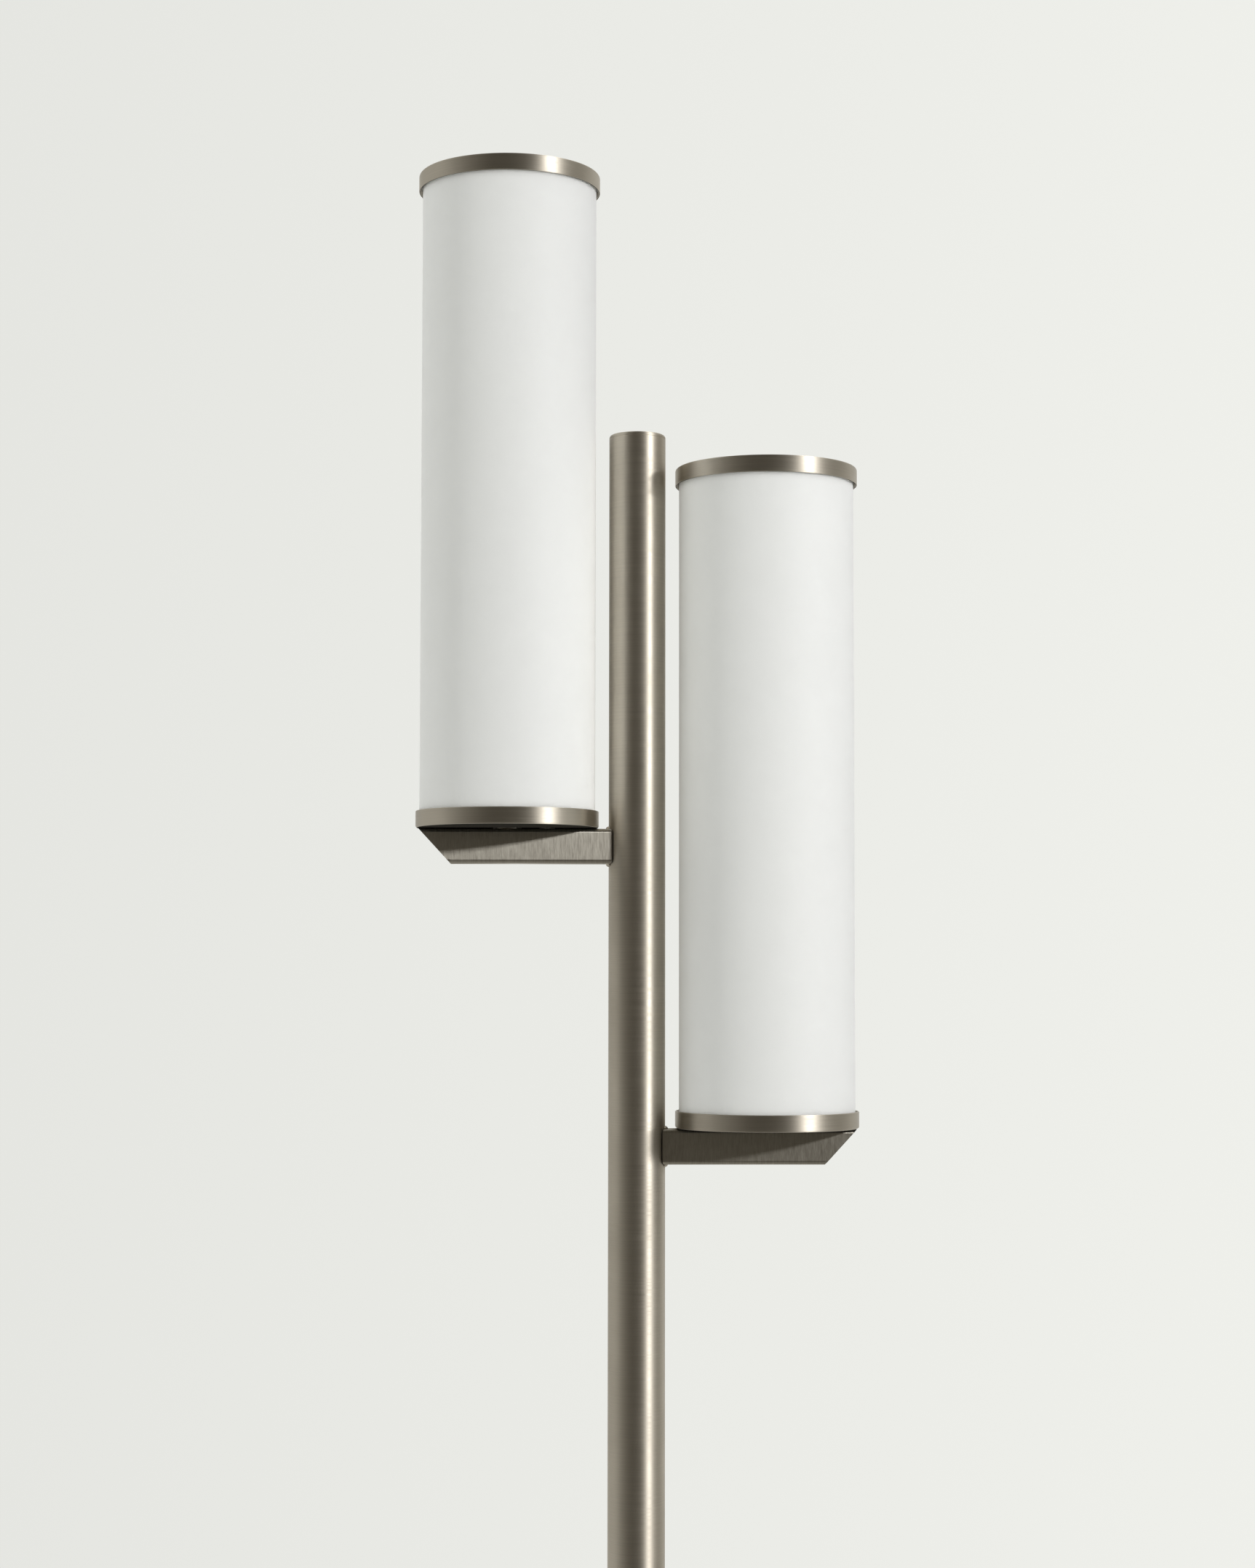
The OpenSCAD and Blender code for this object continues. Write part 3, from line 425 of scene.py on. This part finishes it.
def nylon_finish():
    """Natural nylon of the wire bush."""
    return grained("natural_nylon", (0.86, 0.83, 0.75, 1.0), (0.8, 0.77, 0.69, 1.0), 0.4,
                   0.5 * MM, 0.01 * MM)


def flex_finish():
    """Smooth sheath of the flex."""
    return grained("flex_sheath", (0.82, 0.81, 0.77, 1.0), (0.76, 0.75, 0.7, 1.0), 0.38,
                   1 * MM, 0.01 * MM)


FINISHES = {
    "pole": pole_finish, "arm": arm_finish, "weld": weld_finish, "cup": cup_finish, "base_cover": cover_finish,
    "plated_part": plated_part_finish, "zinc_part": zinc_finish, "iron": iron_finish, "rubber": rubber_finish,
    "black_plastic": black_plastic_finish, "silicone": silicone_finish, "nylon": nylon_finish,
    "flex": flex_finish, "holder": holder_finish, "brass": brass_finish, "bulb_cap": bulb_cap_finish,
    "bulb_tube": opal_bulb_finish, "shade": opal_shade_finish,
}
materials = {slot: make() for slot, make in FINISHES.items()}


def dress_frame():
    """Gives every carried-over node the finish of its slot in the record."""
    for part in frame["record"]["subparts"]:
        mesh = nodes[part["node"]].data
        mesh.materials.clear()
        mesh.materials.append(materials[part["material_slot"]])


dress_frame()


# ---------------------------------------------------------------- finer meshes for welds, threads and spring

SHARP_EDGE = math.radians(38)
RING_POINTS = 48
RINGS_PER_TURN = 8


def add_piece(name, solids, slot, node):
    """A piece fixed to the lamp that takes the place of a node. Each of its solids is a row of loops of equally
    many points, joined by faces and closed at both ends."""
    points, faces = [], []
    for solid in solids:
        size = len(solid[0])
        first = len(points)
        points += [point for loop in solid for point in loop]
        last = len(points) - size
        faces += [range(first, first + size), range(last, last + size)]
        for start in range(first, last, size):
            for k in range(size):
                n = (k + 1) % size
                faces.append((start + k, start + n, start + size + n, start + size + k))
    mesh = bpy.data.meshes.new(name)
    mesh.from_pydata(points, [], [tuple(face) for face in faces])
    shape = bmesh.new()
    shape.from_mesh(mesh)
    bmesh.ops.recalc_face_normals(shape, faces=shape.faces)
    shape.to_mesh(mesh)
    shape.free()
    mesh.shade_smooth()
    mesh.set_sharp_from_angle(angle=SHARP_EDGE)
    mesh.materials.append(materials[slot])
    piece = bpy.data.objects.new(name, mesh)
    bpy.context.scene.collection.objects.link(piece)
    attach(piece, "root")
    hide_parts(node)
    return piece


def circle(steps):
    """The angles of evenly spaced points round a full turn."""
    return [WHOLE_TURN * k / steps for k in range(steps)]


def turned(axis, profile, pitch, depth):
    """Loops of a turned piece round an upright axis. The profile lists the radius, the height and how deep a
    thread of that pitch is cut there, from 0 to 1 of its full depth."""
    loops = []
    for radius, height, cut in profile:
        loop = []
        for angle in circle(RING_POINTS):
            groove = 0.5 - 0.5 * math.cos(WHOLE_TURN * height / pitch - angle)
            reach = radius - depth * cut * groove
            loop.append((axis.x + reach * math.cos(angle), axis.y + reach * math.sin(angle), height))
        loops.append(loop)
    return loops


def threaded(radius, low, high, pitch):
    """Profile of a threaded stretch, whose thread runs in and out over its first and last turn."""
    count = math.ceil((high - low) / pitch * RINGS_PER_TURN)
    heights = [low + (high - low) * i / count for i in range(count + 1)]
    return [(radius, z, min(1.0, (z - low) / pitch, (high - z) / pitch)) for z in heights]


STUD_PITCH = 1.5 * MM
STUD_THREAD = 0.9 * MM
STUD_POINT = 0.8 * MM


def thread_stud(side):
    """The rod that holds arm, tray and lampholder together, threaded from end to end."""
    node = f"stud_{side}"
    low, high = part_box(node)
    radius = radius_of(node)
    profile = [(radius - STUD_POINT, low.z, 0.0)]
    profile += threaded(radius, low.z + STUD_POINT, high.z - STUD_POINT, STUD_PITCH)
    profile += [(radius - STUD_POINT, high.z, 0.0)]
    solid = turned(middle(node), profile, STUD_PITCH, STUD_THREAD)
    add_piece(f"threaded_stud_{side}", [solid], "zinc_part", node)


CAP_PITCH = 3.6 * MM
CAP_THREAD = 1.1 * MM
CAP_CONTACT = 4 * MM
CAP_CONTACT_STEP = 1 * MM
CAP_CONE = 3 * MM
CAP_CONE_IN = 2 * MM
CAP_SHOULDER = 1 * MM
CAP_SKIRT = 5 * MM


def roll_bulb_cap(side):
    """The bulb's screw cap: centre contact, cone, rolled thread and a plain skirt."""
    node = f"bulb_cap_{side}"
    low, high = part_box(node)
    radius = radius_of(node)
    profile = [(CAP_CONTACT, low.z, 0.0), (CAP_CONTACT + CAP_CONE_IN, low.z + CAP_CONTACT_STEP, 0.0),
               (radius - CAP_CONE_IN, low.z + CAP_CONE, 0.0)]
    profile += threaded(radius, low.z + CAP_CONE + CAP_SHOULDER, high.z - CAP_SKIRT, CAP_PITCH)
    profile += [(radius, high.z, 0.0)]
    solid = turned(middle(node), profile, CAP_PITCH, CAP_THREAD)
    add_piece(f"rolled_bulb_cap_{side}", [solid], "bulb_cap", node)


BOLT_RADIUS = 5 * MM
BOLT_PITCH = 1.5 * MM
BOLT_THREAD = 0.9 * MM
BOLT_POINT = 1 * MM
BOLT_CONE = math.tan(math.radians(30))
BOLT_CONE_LOOPS = 6
HEX_SIDE = math.radians(60)


def cut_foot_bolt():
    """The foot bolt: a hexagon head with turned corners below, and a threaded shank that ends in a point."""
    low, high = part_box("base_bolt")
    axis = middle("base_bolt")
    half_flats = (high.y - low.y) / 2
    corner = (high.x - low.x) / 2
    cone = (corner - half_flats) * BOLT_CONE
    head_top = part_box("base_washer")[0].z

    def head_loop(height):
        turned_down = half_flats + (height - low.z) / BOLT_CONE
        loop = []
        for angle in circle(RING_POINTS):
            flat = half_flats / math.cos(angle % HEX_SIDE - HEX_SIDE / 2)
            reach = min(flat, turned_down)
            loop.append((axis.x + reach * math.cos(angle), axis.y + reach * math.sin(angle), height))
        return loop

    loops = [head_loop(low.z + cone * i / BOLT_CONE_LOOPS) for i in range(BOLT_CONE_LOOPS + 1)]
    loops.append(head_loop(head_top))
    profile = [(BOLT_RADIUS, head_top, 0.0)]
    profile += threaded(BOLT_RADIUS, head_top + BOLT_PITCH, high.z - BOLT_POINT, BOLT_PITCH)
    profile += [(BOLT_RADIUS - BOLT_POINT, high.z, 0.0)]
    loops += turned(axis, profile, BOLT_PITCH, BOLT_THREAD)
    add_piece("foot_bolt", [loops], "zinc_part", "base_bolt")


NECK_RADIUS = 10 * MM
NECK_PITCH = 1.25 * MM
NECK_THREAD = 0.7 * MM
NECK_EDGE = 0.5 * MM
BUTTON_GAP = 0.08 * MM
SPRING_GAP = 0.1 * MM


def mould_switch_housing():
    """The foot switch's housing: body under the cover, threaded neck through it, and the button's bore."""
    low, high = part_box("switch_body")
    body = radius_of("switch_body")
    bore = radius_of("switch_button") + BUTTON_GAP
    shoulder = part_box("base_weight")[1].z
    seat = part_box("switch_spring")[0].z - SPRING_GAP
    profile = [(body - NECK_EDGE, low.z, 0.0), (body, low.z + NECK_EDGE, 0.0), (body, shoulder, 0.0),
               (NECK_RADIUS, shoulder, 0.0)]
    profile += threaded(NECK_RADIUS, shoulder, high.z - NECK_EDGE, NECK_PITCH)
    profile += [(NECK_RADIUS - NECK_EDGE, high.z, 0.0), (bore, high.z, 0.0), (bore, seat, 0.0)]
    solid = turned(middle("switch_body"), profile, NECK_PITCH, NECK_THREAD)
    add_piece("switch_housing", [solid], "black_plastic", "switch_body")


WIRE_RADIUS = 0.4 * MM
WIRE_POINTS = 14
SPRING_TURNS = 3
SPRING_STEPS = 40
UP = Vector((0, 0, 1))


def wind_switch_spring():
    """The coil under the foot switch's button, wound from round wire. On the real lamp it shortens as the
    button goes down; this mesh keeps its rest length.
    """
    low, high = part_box("switch_spring")
    centre = middle("switch_spring")
    foot = Vector((centre.x, centre.y, low.z))
    height = high.z - low.z
    coil_radius = radius_of("switch_spring") - WIRE_RADIUS
    steps = SPRING_TURNS * SPRING_STEPS
    loops = []
    for i in range(steps + 1):
        turn = WHOLE_TURN * i / SPRING_STEPS
        out = Vector((math.cos(turn), math.sin(turn), 0))
        wire = foot + coil_radius * out + (WIRE_RADIUS + (height - 2 * WIRE_RADIUS) * i / steps) * UP
        loops.append([tuple(wire + WIRE_RADIUS * (math.cos(angle) * out + math.sin(angle) * UP))
                      for angle in circle(WIRE_POINTS)])
    spring = add_piece("wound_switch_spring", [loops], "zinc_part", "switch_spring")
    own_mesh(spring)


BEAD_LOOPS = 90
BEAD_ARC_STEPS = 8
BEAD_RIPPLE = 1.1 * MM
BEAD_RIPPLE_DEPTH = 0.16
BEAD_END = 1.4 * MM
BEAD_END_SIZE = 0.25


def lay_weld_beads(side):
    """The two rippled beads that join an arm to the pole, above and below it."""
    node = f"arm_welds_{side}"
    low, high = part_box(node)
    arm_low, arm_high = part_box(f"arm_{side}")
    leg = high.z - arm_high.z
    outer = max(-low.x, high.x)
    pole = outer - leg
    turn_to_side = 0.0 if side == "right" else math.pi
    half_turn = math.asin(high.y / outer)
    half_length = half_turn * outer
    quarter = [WHOLE_TURN / 4 * j / BEAD_ARC_STEPS for j in range(BEAD_ARC_STEPS + 1)]
    beads = []
    for base, up in ((arm_high.z, 1), (arm_low.z, -1)):
        loops = []
        for i in range(BEAD_LOOPS + 1):
            turn = half_turn * (2 * i / BEAD_LOOPS - 1)
            along = turn * outer
            to_end = half_length - abs(along)
            ripple = 1 - BEAD_RIPPLE_DEPTH * abs(math.sin(math.pi * along / BEAD_RIPPLE))
            swell = math.sqrt(min(1.0, to_end / BEAD_END))
            size = leg * ripple * (BEAD_END_SIZE + (1 - BEAD_END_SIZE) * swell)
            section = [(0.0, 0.0)] + [(size * math.cos(angle), size * math.sin(angle)) for angle in quarter]
            angle = turn + turn_to_side
            loops.append([((pole + out) * math.cos(angle), (pole + out) * math.sin(angle), base + up * rise)
                          for out, rise in section])
        beads.append(loops)
    add_piece(f"weld_beads_{side}", beads, "weld", node)


PLATE_EDGE = 0.4 * MM
PLATE_EDGE_STEPS = 3


def break_plate_edges(side):
    """Rounds the ground edges of the plate that closes an arm, where they catch the light."""
    edge = nodes[f"arm_end_plate_{side}"].modifiers.new("ground edge", "BEVEL")
    edge.width = PLATE_EDGE
    edge.segments = PLATE_EDGE_STEPS
    edge.limit_method = "ANGLE"
    edge.angle_limit = SHARP_EDGE


for side in SIDES:
    break_plate_edges(side)
    thread_stud(side)
    roll_bulb_cap(side)
    lay_weld_beads(side)
cut_foot_bolt()
mould_switch_housing()
wind_switch_spring()


# ---------------------------------------------------------------- camera, floor and light

CAMERA_PLACE = (-0.0562, -1.931, 1.1136)
CAMERA_PITCH = math.radians(3.669)
CAMERA_YAW = math.radians(1.477)
CAMERA_ROLL = math.radians(0.081)
CAMERA_SENSOR = 36.0
CAMERA_LENS = 66.24


def set_camera():
    """Camera a little below the lights, looking slightly up and to the right of the pole."""
    data = bpy.data.cameras.new("camera")
    data.sensor_width = CAMERA_SENSOR
    data.lens = CAMERA_LENS
    camera = bpy.data.objects.new("camera", data)
    bpy.context.scene.collection.objects.link(camera)
    ahead = Vector((math.sin(CAMERA_YAW) * math.cos(CAMERA_PITCH),
                    math.cos(CAMERA_YAW) * math.cos(CAMERA_PITCH), math.sin(CAMERA_PITCH)))
    right = Vector((math.cos(CAMERA_YAW), -math.sin(CAMERA_YAW), 0))
    up = right.cross(ahead)
    tilted_right = right * math.cos(CAMERA_ROLL) + up * math.sin(CAMERA_ROLL)
    tilted_up = up * math.cos(CAMERA_ROLL) - right * math.sin(CAMERA_ROLL)
    turn = Matrix((tilted_right, tilted_up, -ahead)).transposed().to_4x4()
    turn.translation = CAMERA_PLACE
    camera.matrix_world = turn
    bpy.context.scene.camera = camera


BACKDROP_LEFT = (0.785, 0.790, 0.755, 1.0)
BACKDROP_RIGHT = (0.862, 0.868, 0.828, 1.0)
# What stands round the lamp at eye height, by the compass angle from the front in degrees (right is
# positive): the pale backdrop behind, grey side walls, the dark front of the room, the soft box's glow.
STUDIO_ROUND = (
    (-180, (0.80, 0.80, 0.77)), (-145, (0.55, 0.54, 0.505)), (-92, (0.57, 0.56, 0.525)),
    (-72, (0.30, 0.29, 0.262)), (-45, (0.14, 0.127, 0.107)), (-25, (0.045, 0.036, 0.024)),
    (0, (0.05, 0.041, 0.028)), (22, (0.07, 0.06, 0.045)), (76, (0.32, 0.31, 0.282)),
    (104, (0.34, 0.33, 0.30)), (130, (0.66, 0.65, 0.61)), (180, (0.80, 0.80, 0.77)),
)
CEILING = (0.08, 0.075, 0.068, 1.0)
# The lit floor, as the metal's lower edges show it.
UNDERFOOT = (0.22, 0.21, 0.19, 1.0)
# Where the ceiling and the floor begin, and how far the backdrop's shading reaches to the left and right, by
# the upright and the sideways part of the direction.
CEILING_BEGINS = {"From Min": 0.85, "From Max": 1.0}
FLOOR_BEGINS = {"From Min": -0.6, "From Max": -0.9}
BACKDROP_ACROSS = {"From Min": -0.19, "From Max": 0.24}
# Fill light on matt surfaces, how much more of it comes from the front and from the left, and the soft
# wash that the backdrop gives back from straight behind. A higher focus keeps the wash nearer to there.
FILL = (0.502, 0.506, 0.487)
FILL_FRONT = 0.52
FILL_LEFT = 0.87
FILL_BACKDROP = 2.4
BACKDROP_FOCUS = 6
# Mirrors show the studio's walls until a ray has met a matt surface, and the fill from then on.
FIRST_MATT_BOUNCE = 0.5
HALF_TURN_DEGREES = 180


def place_on_ramp(degrees):
    """A compass angle as a share of the full turn, from 0 at -180 degrees to 1 at +180."""
    return (degrees + HALF_TURN_DEGREES) / (2 * HALF_TURN_DEGREES)


def set_world():
    """A pale backdrop for the camera, the studio's walls for reflections, and a soft fill for the rest."""
    world = bpy.data.worlds.new("studio")
    world.use_nodes = True
    bpy.context.scene.world = world
    tree = world.node_tree
    tree.nodes.clear()
    direction = put(tree, "ShaderNodeTexCoord").outputs["Generated"]
    axes = put(tree, "ShaderNodeSeparateXYZ", {0: direction}).outputs
    across = put(tree, "ShaderNodeMapRange", {"Value": axes["X"], **BACKDROP_ACROSS})
    backdrop = blend_colours(tree, across.outputs["Result"], BACKDROP_LEFT, BACKDROP_RIGHT)
    compass = maths(tree, "ARCTAN2", axes["X"], maths(tree, "MULTIPLY", axes["Y"], -1.0))
    all_round = put(tree, "ShaderNodeMapRange", {"Value": compass, "From Min": -math.pi, "From Max": math.pi})
    walls = put(tree, "ShaderNodeValToRGB", {"Fac": all_round.outputs["Result"]})
    stops = walls.color_ramp.elements
    stops.remove(stops[1])
    for index, (degrees, colour) in enumerate(STUDIO_ROUND):
        stop = stops[0] if index == 0 else stops.new(place_on_ramp(degrees))
        stop.position = place_on_ramp(degrees)
        stop.color = (*colour, 1.0)
    overhead = put(tree, "ShaderNodeMapRange", {"Value": axes["Z"], **CEILING_BEGINS})
    upper = blend_colours(tree, overhead.outputs["Result"], walls.outputs["Color"], CEILING)
    below = put(tree, "ShaderNodeMapRange", {"Value": axes["Z"], **FLOOR_BEGINS})
    studio = blend_colours(tree, below.outputs["Result"], upper, UNDERFOOT)
    rays = put(tree, "ShaderNodeLightPath").outputs
    mirrored = maths(tree, "MAXIMUM", rays["Is Glossy Ray"], rays["Is Transmission Ray"])
    before_matt = maths(tree, "LESS_THAN", rays["Diffuse Depth"], FIRST_MATT_BOUNCE)
    reflected = maths(tree, "MULTIPLY", mirrored, before_matt)
    from_front = maths(tree, "MULTIPLY_ADD", axes["Y"], -FILL_FRONT, 1.0)
    from_left = maths(tree, "MULTIPLY_ADD", axes["X"], -FILL_LEFT, from_front)
    behind = maths(tree, "POWER", maths(tree, "MAXIMUM", axes["Y"], 0.0), BACKDROP_FOCUS)
    uneven = maths(tree, "MULTIPLY_ADD", behind, FILL_BACKDROP, from_left)
    fill = put(tree, "ShaderNodeVectorMath", {0: FILL, "Scale": uneven}, operation="SCALE").outputs[0]
    seen = blend_colours(tree, reflected, fill, studio)
    final = blend_colours(tree, rays["Is Camera Ray"], seen, backdrop)
    background = put(tree, "ShaderNodeBackground", {"Color": final})
    put(tree, "ShaderNodeOutputWorld", {"Surface": background.outputs[0]})


KEY_COMPASS = math.radians(52)
KEY_HEIGHT = math.radians(12.7)
KEY_DISTANCE = 3.0
KEY_SIZE = (0.42, 0.16)
KEY_GLOW = 305
LIGHTS_MIDDLE = Vector((0, 0, 1.2))


def set_lights():
    """The key, a wide low strip light at the front right: it draws the trays' shadows on the arms."""
    key = bpy.data.lights.new("key", "AREA")
    key.shape = "RECTANGLE"
    key.size, key.size_y = KEY_SIZE
    key.energy = KEY_GLOW * math.pi * KEY_SIZE[0] * KEY_SIZE[1]
    level = math.cos(KEY_HEIGHT)
    towards_key = Vector((math.sin(KEY_COMPASS) * level, -math.cos(KEY_COMPASS) * level, math.sin(KEY_HEIGHT)))
    lamp = bpy.data.objects.new("key", key)
    lamp.location = LIGHTS_MIDDLE + towards_key * KEY_DISTANCE
    lamp.rotation_euler = towards_key.to_track_quat("Z", "Y").to_euler()
    bpy.context.scene.collection.objects.link(lamp)


FLOOR_RADIUS = 2.2
FLOOR_FADE = 0.9
FLOOR_IN_MIRRORS = 0.15
FLOOR_COLOUR = (0.80, 0.80, 0.775, 1.0)
FLOOR_PATCHES = (0.815, 0.815, 0.79, 1.0)
FLOOR_MARKS = 0.8
FLOOR_ROUGHNESS = 0.7
# How much of its own colour the floor shows the camera on top of the light that falls on it.
FLOOR_SHOWN = 0.3
FLOOR_RINGS = 24
FLOOR_SPOKES = 96


def set_floor():
    """A pale round floor whose rim fades out, so that it meets the backdrop with no edge."""
    rings = [FLOOR_RADIUS * (i + 1) / FLOOR_RINGS for i in range(FLOOR_RINGS)]
    points = [(0, 0, 0)]
    for radius in rings:
        points += [(radius * math.cos(turn), radius * math.sin(turn), 0) for turn in circle(FLOOR_SPOKES)]
    faces = [(0, 1 + k, 1 + (k + 1) % FLOOR_SPOKES) for k in range(FLOOR_SPOKES)]
    for i in range(FLOOR_RINGS - 1):
        inner, outer = 1 + i * FLOOR_SPOKES, 1 + (i + 1) * FLOOR_SPOKES
        for k in range(FLOOR_SPOKES):
            n = (k + 1) % FLOOR_SPOKES
            faces.append((inner + k, outer + k, outer + n, inner + n))
    mesh = bpy.data.meshes.new("floor")
    mesh.from_pydata(points, [], faces)
    floor = bpy.data.objects.new("floor", mesh)
    bpy.context.scene.collection.objects.link(floor)
    made, tree, shader = new_material("pale_floor")
    marks = effect(tree, HANDLING_MARKS, {"Size": FLOOR_MARKS})
    set_inputs(shader, {"Base Color": blend_colours(tree, marks, FLOOR_COLOUR, FLOOR_PATCHES),
                        "Roughness": FLOOR_ROUGHNESS, "Emission Color": FLOOR_COLOUR})
    place = put(tree, "ShaderNodeTexCoord").outputs["Object"]
    distance = put(tree, "ShaderNodeVectorMath", {0: place}, operation="LENGTH").outputs["Value"]
    fade = put(tree, "ShaderNodeMapRange", {
        "Value": distance, "From Min": FLOOR_FADE, "From Max": FLOOR_RADIUS, "To Min": 1.0, "To Max": 0.0,
    }, interpolation_type="SMOOTHSTEP")
    rays = put(tree, "ShaderNodeLightPath").outputs
    shown = maths(tree, "MULTIPLY_ADD", rays["Is Glossy Ray"], FLOOR_IN_MIRRORS - 1.0, 1.0)
    set_inputs(shader, {"Alpha": maths(tree, "MULTIPLY", fade.outputs["Result"], shown),
                        "Emission Strength": maths(tree, "MULTIPLY", rays["Is Camera Ray"], FLOOR_SHOWN)})
    mesh.materials.append(made)


set_camera()
set_world()
set_lights()
set_floor()
bpy.context.scene.view_settings.view_transform = "Standard"
